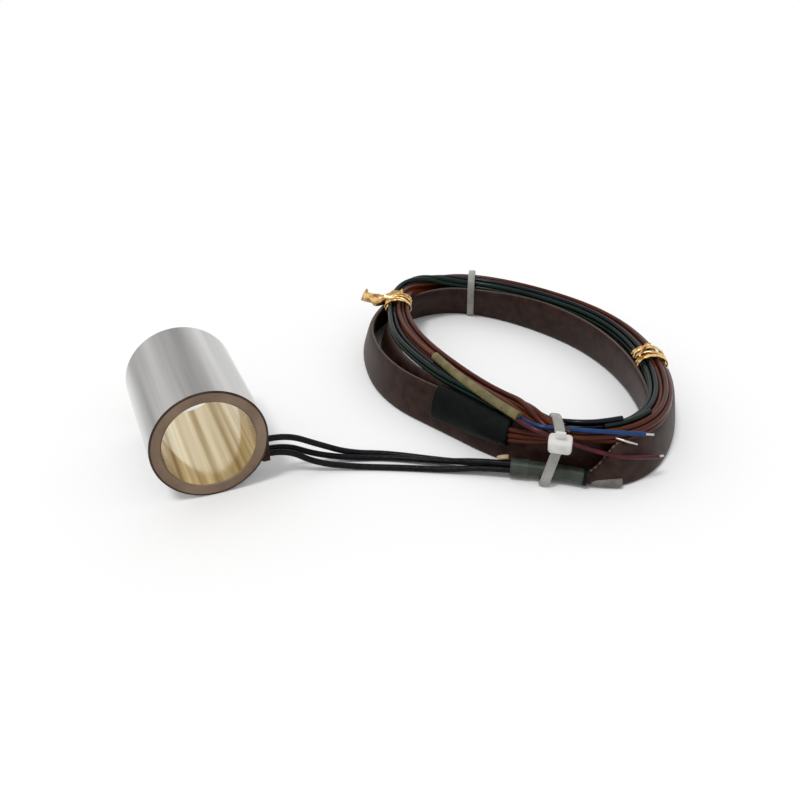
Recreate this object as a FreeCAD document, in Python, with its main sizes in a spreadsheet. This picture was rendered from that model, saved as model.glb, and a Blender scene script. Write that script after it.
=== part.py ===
import FreeCAD, Part
import math
import os
import Sketcher

# Coil heater with its lead cable. Millimetres. The heater lies on its side: its bore runs along +Y,
# the lead end is at y = 0 and the floor is at z = -19. The cable ring lies beside it at +X.

Vector = FreeCAD.Vector
Rotation = FreeCAD.Rotation
Placement = FreeCAD.Placement

DIMENSIONS = {
    "bore_radius": 15.0,
    "heater_wall": 4.0,
    "heater_length": 50.0,
    "shell_wall": 0.7,
    "mouth_chamfer": 0.4,
    "edge_break": 0.25,
    "element_fit": 0.05,
    "element_width": 4.2,
    "coil_turns": 4.0,
    "coil_start": 6.2,
    "end_land": 4.2,
    "probe_station": 2.2,
    "exit_start": 1.0,
    "exit_length": 7.3,
    "exit_angle": 30.0,
    "lead_diameter": 2.1,
    "joint_diameter": 5.4,
    "joint_bore": 4.6,
    "collar_diameter": 6.2,
    "crimp_diameter": 1.9,
    "band_height": 16.0,
    "band_lean": 2.8,
    "band_thickness": 3.2,
    "ring_half_length": 75.5,
    "ring_half_width": 50.5,
    "hole_half_length": 66.5,
    "hole_half_width": 41.0,
    "bundle_half_length": 68.7,
    "bundle_half_width": 42.0,
    "bundle_width": 8.5,
    "bundle_height": 4.0,
    "end_sleeve_thickness": 2.2,
    "core_sleeve_diameter": 3.2,
    "core_diameter": 1.6,
    "tail_diameter": 1.8,
    "bare_diameter": 0.8,
    "tie_thickness": 1.2,
    "tie_width": 3.6,
    "foil_thickness": 0.4,
    "foil_width": 2.4,
}

# The wall between bore and shell is shared out: a third stays under the groove, and the
# element with all that is in it takes the rest.
DERIVED = {
    "shell_radius": "bore_radius + heater_wall",
    "core_wall": "heater_wall - shell_wall",
    "groove_floor": "bore_radius + core_wall / 3",
    "element_depth": "core_wall * 2 / 3 - element_fit",
    "sheath_wall": "element_depth * 0.163",
    "heating_wire": "element_depth * 0.28",
    "probe_diameter": "core_wall * 0.364",
    "probe_slot_floor": "shell_radius - shell_wall - probe_diameter - 2 * element_fit",
    "coil_pitch": "(heater_length - coil_start - end_land) / coil_turns",
}

FLOOR = -(DIMENSIONS["bore_radius"] + DIMENSIONS["heater_wall"])
LEAD_START = 0.1 - FLOOR
EXIT_BOTTOM_ANGLE = 34.0
END_PLUG_TURN = "0.02"
RING_CENTRE = Vector(126.0, 31.7, FLOOR)
RING_TURN = 10.0
HOLE_CENTRE = Vector(124.6, 34.5, FLOOR)
HOLE_TURN = 8.0
BUNDLE_CENTRE = Vector(128.9, 30.6, 0.0)
BUNDLE_TURN = 4.0
BUNDLE_BOTTOM = FLOOR + 14.5
WIRES_TOP = BUNDLE_BOTTOM + DIMENSIONS["bundle_height"]

document = FreeCAD.newDocument("CoilHeater")
nodes = []


def build_sheet():
    sheet = document.addObject("Spreadsheet::Sheet", "Dimensions")
    for row, (name, value) in enumerate(DIMENSIONS.items(), start=1):
        sheet.set("A%d" % row, name)
        sheet.set("B%d" % row, str(value))
        sheet.setAlias("B%d" % row, name)
    for row, (name, formula) in enumerate(DERIVED.items(), start=len(DIMENSIONS) + 1):
        sheet.set("A%d" % row, name)
        sheet.set("B%d" % row, "=" + formula)
        sheet.setAlias("B%d" % row, name)
    document.recompute()
    for name in DERIVED:
        DIMENSIONS[name] = float(sheet.get(name))


def bind(item, **formulas):
    """Ties properties of an object to formulas over the named dimensions."""
    for prop, formula in formulas.items():
        item.setExpression(prop, formula)
    return item


def cell(name):
    return "Dimensions." + name


def add(kind, name):
    return document.addObject(kind, name)


def node(item, name):
    """Names the object that stands for one separate piece."""
    item.Label = name
    nodes.append(item)
    return item


def cut(name, base, tools):
    """Takes one or more tools out of the base."""
    tool = tools[0]
    if len(tools) > 1:
        tool = add("Part::MultiFuse", name + "_tools")
        tool.Shapes = tools
    result = add("Part::Cut", name + "_cut")
    result.Base = base
    result.Tool = tool
    return result


def fuse(name, parts):
    result = add("Part::MultiFuse", name + "_fuse")
    result.Shapes = parts
    return result


# The heater's own pieces are drawn round a local z axis, and this turn lays that axis along +Y.
def along_bore(start=0.0, roll=0.0):
    """Local z becomes +Y; local x stays +X; a positive roll turns downward from +X."""
    lay = Placement(Vector(0, start, 0), Rotation(Vector(1, 0, 0), -90))
    return lay.multiply(Placement(Vector(), Rotation(Vector(0, 0, 1), roll)))


def turned_body(name, corners):
    """A revolved body: corners are (radius, station, radius formula, station formula)."""
    body = add("PartDesign::Body", name + "_body")
    sketch = body.newObject("Sketcher::SketchObject", name + "_profile")
    plane = [item for item in body.Origin.OriginFeatures if item.Role == "XY_Plane"][0]
    sketch.AttachmentSupport = [(plane, "")]
    sketch.MapMode = "FlatFace"
    count = len(corners)
    for index in range(count):
        first = corners[index]
        second = corners[(index + 1) % count]
        start = Vector(first[0], first[1], 0)
        end = Vector(second[0], second[1], 0)
        sketch.addGeometry(Part.LineSegment(start, end), False)
    for index in range(count):
        sketch.addConstraint(Sketcher.Constraint("Coincident", index, 2, (index + 1) % count, 1))
    for index, (radius, station, radius_rule, station_rule) in enumerate(corners):
        rule = Sketcher.Constraint("DistanceX", -1, 1, index, 1, radius)
        place = sketch.addConstraint(rule)
        sketch.setExpression("Constraints[%d]" % place, radius_rule)
        if station == 0:
            sketch.addConstraint(Sketcher.Constraint("PointOnObject", index, 1, -1))
            continue
        rule = Sketcher.Constraint("DistanceY", -1, 1, index, 1, station)
        place = sketch.addConstraint(rule)
        sketch.setExpression("Constraints[%d]" % place, station_rule)
    revolution = body.newObject("PartDesign::Revolution", name + "_turning")
    revolution.Profile = sketch
    revolution.ReferenceAxis = (sketch, ["V_Axis"])
    revolution.Angle = 360
    sketch.Visibility = False
    body.Tip = revolution
    document.recompute()
    return body


def ring_sector(name, inner, outer, start, length, top_roll, angle, angle_rule=None):
    """A piece of a tube's wall round the bore, from the roll angle downward."""
    solid = add("Part::Cylinder", name + "_outer")
    bind(solid, Radius=outer, Height=length)
    if angle_rule:
        bind(solid, Angle=angle_rule)
    else:
        solid.Angle = angle
    solid.Placement = along_bore(start, top_roll)
    hole = add("Part::Cylinder", name + "_inner")
    bind(hole, Radius=inner, Height=length + " + 2")
    hole.Placement = along_bore(start - 1, 0)
    return cut(name + "_sector", solid, [hole])


def wound_bar(name, depth_rule, width_rule, lift=0.0, ahead=0.0, turns_rule=None):
    """A rectangular bar on the core: a section swept along the element's helix."""
    helix = add("Part::Helix", name + "_helix")
    bind(
        helix,
        Pitch=cell("coil_pitch"),
        Height="%s * (%s)" % (cell("coil_pitch"), turns_rule or cell("coil_turns")),
        Radius=cell("groove_floor") + " + " + cell("element_depth") + " / 2",
    )
    start = DIMENSIONS["coil_start"] + ahead
    helix.Placement = along_bore(start, EXIT_BOTTOM_ANGLE)
    section = add("Part::Plane", name + "_section")
    bind(section, Length=depth_rule, Width=width_rule)
    document.recompute()
    corner = Vector(DIMENSIONS["groove_floor"] + lift, 0, -section.Width.Value / 2)
    upright = Placement(corner, Rotation(Vector(1, 0, 0), 90))
    section.Placement = along_bore(start, EXIT_BOTTOM_ANGLE).multiply(upright)
    bar = add("Part::Sweep", name + "_bar")
    bar.Sections = [section]
    bar.Spine = (helix, [])
    bar.Solid = True
    bar.Frenet = True
    document.recompute()
    return bar


# Rounded routes for cords and straps.
def rounded_wire(points, closed=False, radius=None, name=None):
    """Straight runs joined by tangent arcs; a given radius serves for all corners."""
    points = [Vector(*point) for point in points]
    count = len(points)
    corners = range(count) if closed else range(1, count - 1)
    edges = []
    entry = {}
    leave = {}
    arcs = {}
    radii = []
    for index in corners:
        before = points[index - 1]
        here = points[index]
        after = points[(index + 1) % count]
        toward = (here - before).normalize()
        away = (after - here).normalize()
        half_turn = toward.getAngle(away) / 2
        shorter = min((here - before).Length, (after - here).Length)
        bend = radius if radius else 0.45 * shorter / math.tan(half_turn)
        setback = bend * math.tan(half_turn)
        entry[index] = here - toward * setback
        leave[index] = here + away * setback
        inward = (away - toward).normalize()
        middle = here + inward * (bend / math.cos(half_turn) - bend)
        arcs[index] = Part.Arc(entry[index], middle, leave[index]).toShape()
        radii.append(bend)
    runs = range(count) if closed else range(count - 1)
    for index in runs:
        after = (index + 1) % count
        start = leave.get(index, points[index])
        end = entry.get(after, points[after])
        if (end - start).Length > 0.001:
            edges.append(Part.LineSegment(start, end).toShape())
        if after in arcs:
            edges.append(arcs[after])
    if name:
        print("%s: smallest bend radius %.1f mm" % (name, min(radii, default=0.0)))
    return Part.Wire(Part.__sortEdges__(edges))


def cord(name, route, diameter):
    """A plain round cord along its route."""
    spine = add("Part::Feature", name + "_route")
    spine.Shape = rounded_wire(route, name=name)
    section = add("Part::Circle", name + "_section")
    bind(section, Radius=cell(diameter) + " / 2")
    first = Vector(*route[0])
    heading = (Vector(*route[1]) - first).normalize()
    section.Placement = Placement(first, Rotation(Vector(0, 0, 1), heading))
    sweep = add("Part::Sweep", name + "_cord")
    sweep.Sections = [section]
    sweep.Spine = (spine, [])
    sweep.Solid = True
    sweep.Frenet = False
    document.recompute()
    area = math.pi * (DIMENSIONS[diameter] / 2) ** 2
    length = spine.Shape.Length
    volume = sweep.Shape.Volume
    print("%s: length %.1f mm, volume %.1f of %.1f" % (name, length, volume, area * length))
    return sweep


def oval(name, centre, turn, half_length, half_width, height, less=""):
    """An ellipse in a level plane; its long axis starts along +Y and is turned by the angle."""
    item = add("Part::Ellipse", name)
    bind(item, MajorRadius=cell(half_length) + less, MinorRadius=cell(half_width) + less)
    at = Vector(centre.x, centre.y, centre.z + height)
    item.Placement = Placement(at, Rotation(Vector(0, 0, 1), 90 + turn))
    return item


def leaning_wall(name, centre, turn, half_length, half_width, more=0.0, rise=0.0):
    """A solid between two ovals, the upper smaller by the lean."""
    height = DIMENSIONS["band_height"] + rise
    lean = "%s * %.4f" % (cell("band_lean"), height / DIMENSIONS["band_height"])
    lower = oval(name + "_low", centre, turn, half_length, half_width, 0, " + %.3f" % more)
    upper_less = " + %.3f - %s" % (more, lean)
    upper = oval(name + "_high", centre, turn, half_length, half_width, height, upper_less)
    wall = add("Part::Loft", name + "_loft")
    wall.Sections = [lower, upper]
    wall.Solid = True
    wall.Ruled = True
    return wall


def box(name, size, centre, turn=0.0, tip_up=0.0):
    """A box by its centre: its length is tipped up, then the box turns about the vertical."""
    item = add("Part::Box", name)
    item.Length, item.Width, item.Height = size
    spin = Rotation(Vector(0, 0, 1), turn).multiply(Rotation(Vector(0, 1, 0), -tip_up))
    corner = spin.multVec(Vector(-size[0] / 2, -size[1] / 2, -size[2] / 2))
    item.Placement = Placement(Vector(*centre) + corner, spin)
    return item


# Heater.
def build_core():
    bore = DIMENSIONS["bore_radius"]
    chamfer = DIMENSIONS["mouth_chamfer"]
    length = DIMENSIONS["heater_length"]
    seat = DIMENSIONS["shell_radius"] - DIMENSIONS["shell_wall"]
    bore_rule = cell("bore_radius")
    mouth_rule = cell("bore_radius") + " + " + cell("mouth_chamfer")
    seat_rule = cell("shell_radius") + " - " + cell("shell_wall")
    low_rule = cell("mouth_chamfer")
    high_rule = cell("heater_length") + " - " + cell("mouth_chamfer")
    end_rule = cell("heater_length")
    blank = turned_body("core", [
        (bore, chamfer, bore_rule, low_rule),
        (bore + chamfer, 0, mouth_rule, ""),
        (seat, 0, seat_rule, ""),
        (seat, length, seat_rule, end_rule),
        (bore + chamfer, length, mouth_rule, end_rule),
        (bore, length - chamfer, bore_rule, high_rule),
    ])
    longer = cell("coil_turns") + " + " + END_PLUG_TURN
    groove = wound_bar("groove", cell("core_wall"), cell("element_width"), turns_rule=longer)
    pocket = exit_pocket("core_pocket", cell("groove_floor"), cell("shell_radius") + " + 1")
    slot = probe_slot()
    return node(cut("brass_core", blank, [groove, pocket, slot]), "brass_core")


def exit_pocket(name, inner, outer):
    """The opening for the leads: it joins the groove's start at the lead end."""
    return ring_sector(
        name, inner, outer, length=cell("exit_length"), start=DIMENSIONS["exit_start"],
        top_roll=EXIT_BOTTOM_ANGLE - DIMENSIONS["exit_angle"], angle=DIMENSIONS["exit_angle"],
        angle_rule=cell("exit_angle"))


def probe_slot():
    half = DIMENSIONS["probe_diameter"] / 2 + 0.05
    return ring_sector(
        "probe_slot", cell("probe_slot_floor"), cell("shell_radius") + " + 1",
        start=DIMENSIONS["probe_station"] - half, length=cell("probe_diameter") + " + 0.1",
        top_roll=EXIT_BOTTOM_ANGLE, angle=82.0)


def build_shell():
    outer = DIMENSIONS["shell_radius"]
    inner = outer - DIMENSIONS["shell_wall"]
    length = DIMENSIONS["heater_length"]
    edge = DIMENSIONS["edge_break"]
    outer_rule = cell("shell_radius")
    edge_rule = cell("shell_radius") + " - " + cell("edge_break")
    inner_rule = cell("shell_radius") + " - " + cell("shell_wall")
    end_rule = cell("heater_length")
    tube = turned_body("shell", [
        (inner, 0, inner_rule, ""),
        (outer - edge, 0, edge_rule, ""),
        (outer, edge, outer_rule, cell("edge_break")),
        (outer, length - edge, outer_rule, end_rule + " - " + cell("edge_break")),
        (outer - edge, length, edge_rule, end_rule),
        (inner, length, inner_rule, end_rule),
    ])
    window = exit_pocket("shell_window", cell("groove_floor"), cell("shell_radius") + " + 1")
    return node(cut("outer_sleeve", tube, [window]), "outer_sleeve")


def build_exit_seal():
    """Cement plug: fills the pocket and stands a little proud where the leads leave."""
    plug = exit_pocket("seal_plug", cell("groove_floor"), cell("shell_radius"))
    boss = box("seal_boss", (3.4, 6.0, 8.8), (LEAD_START - 1.7, 4.2, FLOOR + 12.0))
    bore = add("Part::Cylinder", "seal_boss_clearance")
    bind(bore, Radius=cell("shell_radius") + " - 1.2", Height=cell("heater_length"))
    bore.Placement = along_bore(-1, 0)
    proud = cut("seal_proud", boss, [bore])
    wedge = exit_pocket("seal_wedge", cell("groove_floor"), cell("shell_radius") + " + 6")
    kept = add("Part::Common", "seal_kept")
    kept.Base = proud
    kept.Tool = wedge
    return node(fuse("lead_exit_seal", [plug, kept]), "lead_exit_seal")


def build_element():
    """The hollow sheath, the packed magnesia in it and the heating wire in its middle."""
    depth = cell("element_depth")
    width = cell("element_width")
    wire = cell("heating_wire")
    inner_depth = depth + " - 2 * " + cell("sheath_wall")
    inner_width = width + " - 2 * " + cell("sheath_wall")
    wall = DIMENSIONS["sheath_wall"]
    middle = (DIMENSIONS["element_depth"] - DIMENSIONS["heating_wire"]) / 2
    outside = wound_bar("sheath_outside", depth, width)
    inside = wound_bar("sheath_inside", inner_depth, inner_width, lift=wall)
    node(cut("element_sheath", outside, [inside]), "element_sheath")
    filling = wound_bar("filling", inner_depth, inner_width, lift=wall)
    strand = wound_bar("strand", wire, wire, lift=middle)
    node(cut("element_insulation", filling, [strand]), "element_insulation")
    node(wound_bar("heating", wire, wire, lift=middle), "resistance_wire")


def build_end_plug():
    """Welded plug on the far end of the sheath, in the last bit of the groove."""
    wound = DIMENSIONS["coil_pitch"] * DIMENSIONS["coil_turns"]
    plug = wound_bar(
        "plug", cell("element_depth"), cell("element_width"), ahead=wound, turns_rule=END_PLUG_TURN)
    node(plug, "element_end_plug")


def build_probe():
    probe = add("Part::Torus", "thermocouple_probe_arc")
    bind(
        probe,
        Radius1=cell("probe_slot_floor") + " + " + cell("probe_diameter") + " / 2",
        Radius2=cell("probe_diameter") + " / 2",
    )
    probe.Angle3 = 80.0
    probe.Placement = along_bore(DIMENSIONS["probe_station"], EXIT_BOTTOM_ANGLE)
    node(probe, "thermocouple_probe")


# Leads. The routes start at the seal's flat face and end inside the joint's mouth.
MOUTH = Vector(93.2, -27.6, FLOOR + 3.95)
MOUTH_HEADING = Vector(0.84, -0.543, 0).normalize()
MOUTH_SIDE = Vector(0.543, 0.84, 0).normalize()
LEAD_REACH = 4.0


def mouth_point(side, rise, ahead):
    """A point beside the joint's axis, ahead of its mouth or, when negative, before it."""
    point = MOUTH + MOUTH_SIDE * side + Vector(0, 0, rise) + MOUTH_HEADING * ahead
    return (point.x, point.y, point.z)


LEAD_UPPER = [
    (LEAD_START, 3.2, FLOOR + 14.8),
    (25.7, 3.2, FLOOR + 14.8),
    (36.0, 3.4, FLOOR + 8.6),
    (47.5, 4.4, FLOOR + 1.6),
    (60.0, -0.3, FLOOR + 1.08),
    (76.0, -11.9, FLOOR + 1.15),
    mouth_point(1.07, -0.62, -9.0),
    mouth_point(1.07, -0.62, LEAD_REACH),
]
LEAD_MIDDLE = [
    (LEAD_START, 5.4, FLOOR + 9.6),
    (25.5, 5.4, FLOOR + 9.6),
    (35.0, 4.4, FLOOR + 4.2),
    (47.5, 1.5, FLOOR + 1.2),
    (60.0, -3.2, FLOOR + 1.15),
    (75.0, -14.0, FLOOR + 2.3),
    mouth_point(0.0, 1.2, -9.0),
    mouth_point(0.0, 1.2, LEAD_REACH),
]
LEAD_LOWER = [
    (LEAD_START, 2.9, FLOOR + 9.3),
    (25.2, 2.9, FLOOR + 9.3),
    (34.5, 0.2, FLOOR + 3.2),
    (47.0, -3.9, FLOOR + 1.1),
    (61.0, -10.3, FLOOR + 1.08),
    (75.0, -17.9, FLOOR + 1.3),
    mouth_point(-1.07, -0.62, -8.0),
    mouth_point(-1.07, -0.62, LEAD_REACH),
]


def build_leads():
    node(cord("lead_sleeve_upper", LEAD_UPPER, "lead_diameter"), "lead_sleeve_upper")
    node(cord("lead_sleeve_middle", LEAD_MIDDLE, "lead_diameter"), "lead_sleeve_middle")
    node(cord("lead_sleeve_lower", LEAD_LOWER, "lead_diameter"), "lead_sleeve_lower")


# Joint between the leads and the braid.
JOINT_ROUTE = [
    mouth_point(0, 0, 0),
    mouth_point(0, 0, 10.0),
    (108.0, -37.6, FLOOR + 3.9),
    (114.0, -42.3, FLOOR + 3.4),
]


def rod(name, start, heading, radius, length):
    """A straight round bar from a point along a heading."""
    item = add("Part::Cylinder", name)
    bind(item, Radius=radius)
    item.Height = length
    item.Placement = Placement(Vector(*start), Rotation(Vector(0, 0, 1), heading))
    return item


def build_joint():
    outside = cord("joint_outside", JOINT_ROUTE, "joint_diameter")
    inside = cord("joint_inside", JOINT_ROUTE, "joint_bore")
    node(cut("joint_tube", outside, [inside]), "joint_tube")
    collar = rod("collar_outside", JOINT_ROUTE[0], MOUTH_HEADING, cell("collar_diameter") + " / 2", 6.0)
    seat = rod("collar_seat", mouth_point(0, 0, -1), MOUTH_HEADING, cell("joint_diameter") + " / 2", 8.0)
    lifted = cut("joint_collar", collar, [seat])
    node(lifted, "joint_collar")
    barrels = []
    for index, (side, rise) in enumerate([(0, 1.2), (1.07, -0.62), (-1.07, -0.62)]):
        start = mouth_point(side, rise, LEAD_REACH)
        radius = cell("crimp_diameter") + " / 2"
        barrels.append(rod("crimp_%d" % (index + 1), start, MOUTH_HEADING, radius, 5.0))
    crimps = add("Part::Compound", "crimp_set")
    crimps.Links = barrels
    node(crimps, "splice_crimps")


# Cable ring.
def oval_frame(centre, turn, half_length, half_width, angle):
    """A point on an oval with its outward and forward (counter-clockwise) directions."""
    lean = math.radians(turn)
    across = half_width * math.cos(math.radians(angle))
    along = half_length * math.sin(math.radians(angle))
    out_across = math.cos(math.radians(angle)) / half_width
    out_along = math.sin(math.radians(angle)) / half_length
    spin = Rotation(Vector(0, 0, 1), math.degrees(lean))
    point = centre + spin.multVec(Vector(across, along, 0))
    outward = spin.multVec(Vector(out_across, out_along, 0)).normalize()
    forward = Vector(-outward.y, outward.x, 0)
    return point, outward, forward


def bundle_frame(angle):
    length = DIMENSIONS["bundle_half_length"]
    width = DIMENSIONS["bundle_half_width"]
    return oval_frame(BUNDLE_CENTRE, BUNDLE_TURN, length, width, angle)


def skewed(frame, turn):
    """The same place with its outward direction turned about the vertical."""
    point, outward, forward = frame
    outward = Rotation(Vector(0, 0, 1), turn).multVec(outward)
    return point, outward, Vector(-outward.y, outward.x, 0)


def bundle_block(name, more, base, top):
    """A straight-sided solid within an oval that follows the bundle's middle line."""
    centre = Vector(BUNDLE_CENTRE.x, BUNDLE_CENTRE.y, base)
    sections = []
    for level, height in (("low", 0.0), ("high", top - base)):
        sections.append(oval(
            "%s_%s" % (name, level), centre, BUNDLE_TURN,
            "bundle_half_length", "bundle_half_width", height, more))
    block = add("Part::Loft", name + "_loft")
    block.Sections = sections
    block.Solid = True
    block.Ruled = True
    return block


def wire_ring(name):
    half = " / 2"
    wide = bundle_block(name + "_wide", " + " + cell("bundle_width") + half, BUNDLE_BOTTOM, WIRES_TOP)
    slim = bundle_block(name + "_slim", " - " + cell("bundle_width") + half, BUNDLE_BOTTOM, WIRES_TOP)
    return cut(name, wide, [slim])


def flat_section(name, centre, heading, height, thickness, lean):
    """A flat oval on edge, across the heading, leaning to the left of it."""
    heading = Vector(*heading).normalize()
    left = Vector(-heading.y, heading.x, 0)
    up = Vector(0, 0, 1) * math.cos(lean) + left * math.sin(lean)
    item = add("Part::Ellipse", name)
    item.MajorRadius = height / 2
    item.MinorRadius = thickness / 2
    across = heading.cross(up)
    item.Placement = Placement(Vector(*centre), Rotation(up, across, heading, "ZXY"))
    return item


def braid_flare(name):
    """The braid leaves the tube round, lies down, then opens to its full width on edge."""
    thickness = DIMENSIONS["band_thickness"]
    height = DIMENSIONS["band_height"]
    lean = math.atan2(DIMENSIONS["band_lean"], height)
    low = FLOOR + 0.05
    sections = [
        flat_section(name + "_1", (113.3, -41.75, FLOOR + 3.45), (0.787, -0.617, 0), 4.3, 4.2, 0.0),
        flat_section(name + "_2", (118.6, -45.2, low + 2.4), (0.93, -0.36, 0), 4.7, 4.0, 0.0),
        flat_section(name + "_3", (126.0, -46.1, low + 4.5), (0.99, 0.12, 0), 9.0, 3.4, 0.1),
        flat_section(name + "_4", (136.6, -42.6, low + 6.8), (0.95, 0.31, 0),
                     13.6, thickness, lean),
    ]
    flare = add("Part::Loft", name + "_loft")
    flare.Sections = sections
    flare.Solid = True
    flare.Ruled = False
    return flare


def strap(name, frame, corners, thickness, width, radius, slant=0.0):
    """A closed strap: corners are (distance outward, height) of its inner face.

    Its loop may slant forward with height, while its runs along the floor stay level.
    """
    point, outward, forward = frame
    places = []
    for distance, height in corners:
        spot = point + outward * distance + forward * (slant * (height - FLOOR) - slant * 8.0)
        places.append((spot.x, spot.y, height))
    outline = add("Part::Feature", name + "_outline")
    outline.Shape = rounded_wire(places, closed=True, radius=radius)
    wall = add("Part::Offset2D", name + "_wall")
    wall.Source = outline
    bind(wall, Value=cell(thickness))
    wall.Fill = True
    wall.Join = "Arc"
    band = add("Part::Extrusion", name + "_band")
    band.Base = wall
    band.DirMode = "Custom"
    band.Dir = forward
    bind(band, LengthFwd=cell(width) + " / 2", LengthRev=cell(width) + " / 2")
    band.Solid = True
    document.recompute()
    return band


def frame_box(name, frame, size, distance, height, ahead=0.0, tip_up=0.0):
    """A box lined up with a frame: size is (outward, forward, up), by its centre."""
    point, outward, forward = frame
    centre = point + outward * distance + forward * ahead
    turn = math.degrees(math.atan2(outward.y, outward.x))
    return box(name, size, (centre.x, centre.y, height), turn, tip_up)


SLEEVE_FOLD = 1.4
SLEEVE_SIZE = (11.0, 34.0, 13.0)
SLEEVE_PLACE = (90.0, -6.5, FLOOR + 11.4)
SLEEVE_HEADING = 26.0
FRONT_TIE = skewed(bundle_frame(-124.0), 8.0)
BACK_TIE = bundle_frame(76.4)
LEFT_TWIST = bundle_frame(126.0)
RIGHT_TWIST = bundle_frame(-28.5)
STRAP_LOW = FLOOR + DIMENSIONS["tie_thickness"]
TIE_HEAD = (4.4, 6.4, 7.0)
TIE_TONGUE = (1.2, 3.2, 9.6)
FRONT_TIE_SLANT = 0.22
FRONT_TIE_CORNERS = [
    (-7.2, STRAP_LOW),
    (12.9, STRAP_LOW),
    (12.9, FLOOR + 6.0),
    (11.4, FLOOR + 16.8),
    (8.4, WIRES_TOP + 2.3),
    (-7.2, WIRES_TOP + 2.3),
]
BACK_TIE_CORNERS = [
    (-2.4, STRAP_LOW),
    (6.0, STRAP_LOW),
    (6.2, WIRES_TOP + 0.1),
    (-5.9, WIRES_TOP + 0.1),
]


def tie_strap(name, frame, corners, slant=0.0):
    return strap(name, frame, corners, "tie_thickness", "tie_width", 1.8, slant)


def build_cable_tie(name, frame, corners, head_place, tip_up=0.0, slant=0.0):
    """One moulded strap: the loop, the head with its slot for the tongue, and the cut tongue."""
    loop = tie_strap(name + "_loop", frame, corners, slant)
    distance, height, ahead = head_place
    head = frame_box(name + "_head", frame, TIE_HEAD, distance, height, ahead, tip_up)
    rounded = add("Part::Fillet", name + "_head_rounded")
    rounded.Base = head
    document.recompute()
    rounded.Edges = [(index + 1, 0.7, 0.7) for index in range(len(head.Shape.Edges))]
    tongue = frame_box(name + "_tongue", frame, TIE_TONGUE, distance + 0.6, height, ahead, tip_up)
    node(fuse(name, [loop, rounded, tongue]), name)


def foil_loop(name, frame, ahead):
    """One wrap of the foil tie round the bundle."""
    point, outward, forward = frame
    half = DIMENSIONS["bundle_width"] / 2 + 0.8
    low = BUNDLE_BOTTOM - 0.15
    high = WIRES_TOP + 0.1
    corners = [(-half, low), (half, low), (half, high), (-half, high)]
    moved = (point + forward * ahead, outward, forward)
    return strap(name, moved, corners, "foil_thickness", "foil_width", 0.8)


def foil_wraps(name, frame):
    """Two wraps side by side, joined where the ribbon crosses over the top."""
    wraps = [foil_loop(name + "_wrap_1", frame, -1.3), foil_loop(name + "_wrap_2", frame, 1.3)]
    cross = frame_box(name + "_cross", frame, (6.0, 3.0, 0.7), 0.0, WIRES_TOP + 0.5)
    return fuse(name + "_wraps", wraps + [cross])


def build_twist_tie(name, frame, flag_steps):
    """Foil ribbon: its wraps, the twisted neck and the loose flat end."""
    parts = [foil_wraps(name, frame)]
    for index, (size, distance, height, ahead) in enumerate(flag_steps):
        parts.append(frame_box("%s_flag_%d" % (name, index + 1), frame, size, distance, height, ahead))
    node(fuse(name, parts), name)


def build_ring():
    outside = leaning_wall("ring", RING_CENTRE, RING_TURN, "ring_half_length", "ring_half_width")
    hole = leaning_wall("hole", HOLE_CENTRE, HOLE_TURN, "hole_half_length", "hole_half_width")
    tools = [
        hole,
        wire_ring("channel"),
        braid_flare("flare_seat"),
        tie_strap("front_notch", FRONT_TIE, FRONT_TIE_CORNERS, FRONT_TIE_SLANT),
        tie_strap("back_notch", BACK_TIE, BACK_TIE_CORNERS),
        foil_wraps("left_notch", LEFT_TWIST),
        foil_wraps("right_notch", RIGHT_TWIST),
    ]
    node(cut("band_coil", outside, tools), "band_coil")
    node(wire_ring("wire_coil"), "wire_coil")
    node(braid_flare("braid_tail"), "braid_tail")


def build_end_sleeve():
    """Black sleeve folded over the ring's outer edge, where the wires leave the braid."""
    thickness = DIMENSIONS["end_sleeve_thickness"]
    grown = leaning_wall(
        "sleeve", RING_CENTRE, RING_TURN, "ring_half_length", "ring_half_width",
        thickness, rise=SLEEVE_FOLD)
    core = leaning_wall("sleeve_core", RING_CENTRE, RING_TURN, "ring_half_length", "ring_half_width")
    skin = cut("sleeve_skin", grown, [core, wire_ring("sleeve_channel")])
    reach = box("sleeve_reach", SLEEVE_SIZE, SLEEVE_PLACE, SLEEVE_HEADING)
    sleeve = add("Part::Common", "sleeve_piece")
    sleeve.Base = skin
    sleeve.Tool = reach
    node(sleeve, "band_end_sleeve")


def build_cable_ties():
    build_cable_tie(
        "cable_tie_front", FRONT_TIE, FRONT_TIE_CORNERS, (12.4, FLOOR + 17.4, 2.1),
        tip_up=32.0, slant=FRONT_TIE_SLANT)
    build_cable_tie("cable_tie_back", BACK_TIE, BACK_TIE_CORNERS, (8.0, FLOOR + 12.0, 0.0))


def build_twist_ties():
    build_twist_tie("twist_tie_left", LEFT_TWIST, [
        ((5.0, 1.4, 1.0), 6.2, WIRES_TOP + 0.55, 0.0),
        ((9.0, 3.0, 0.5), 12.2, WIRES_TOP + 0.55, 0.6),
    ])
    build_twist_tie("twist_tie_right", RIGHT_TWIST, [
        ((3.0, 1.4, 1.0), -4.6, WIRES_TOP + 0.55, 0.0),
    ])


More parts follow.
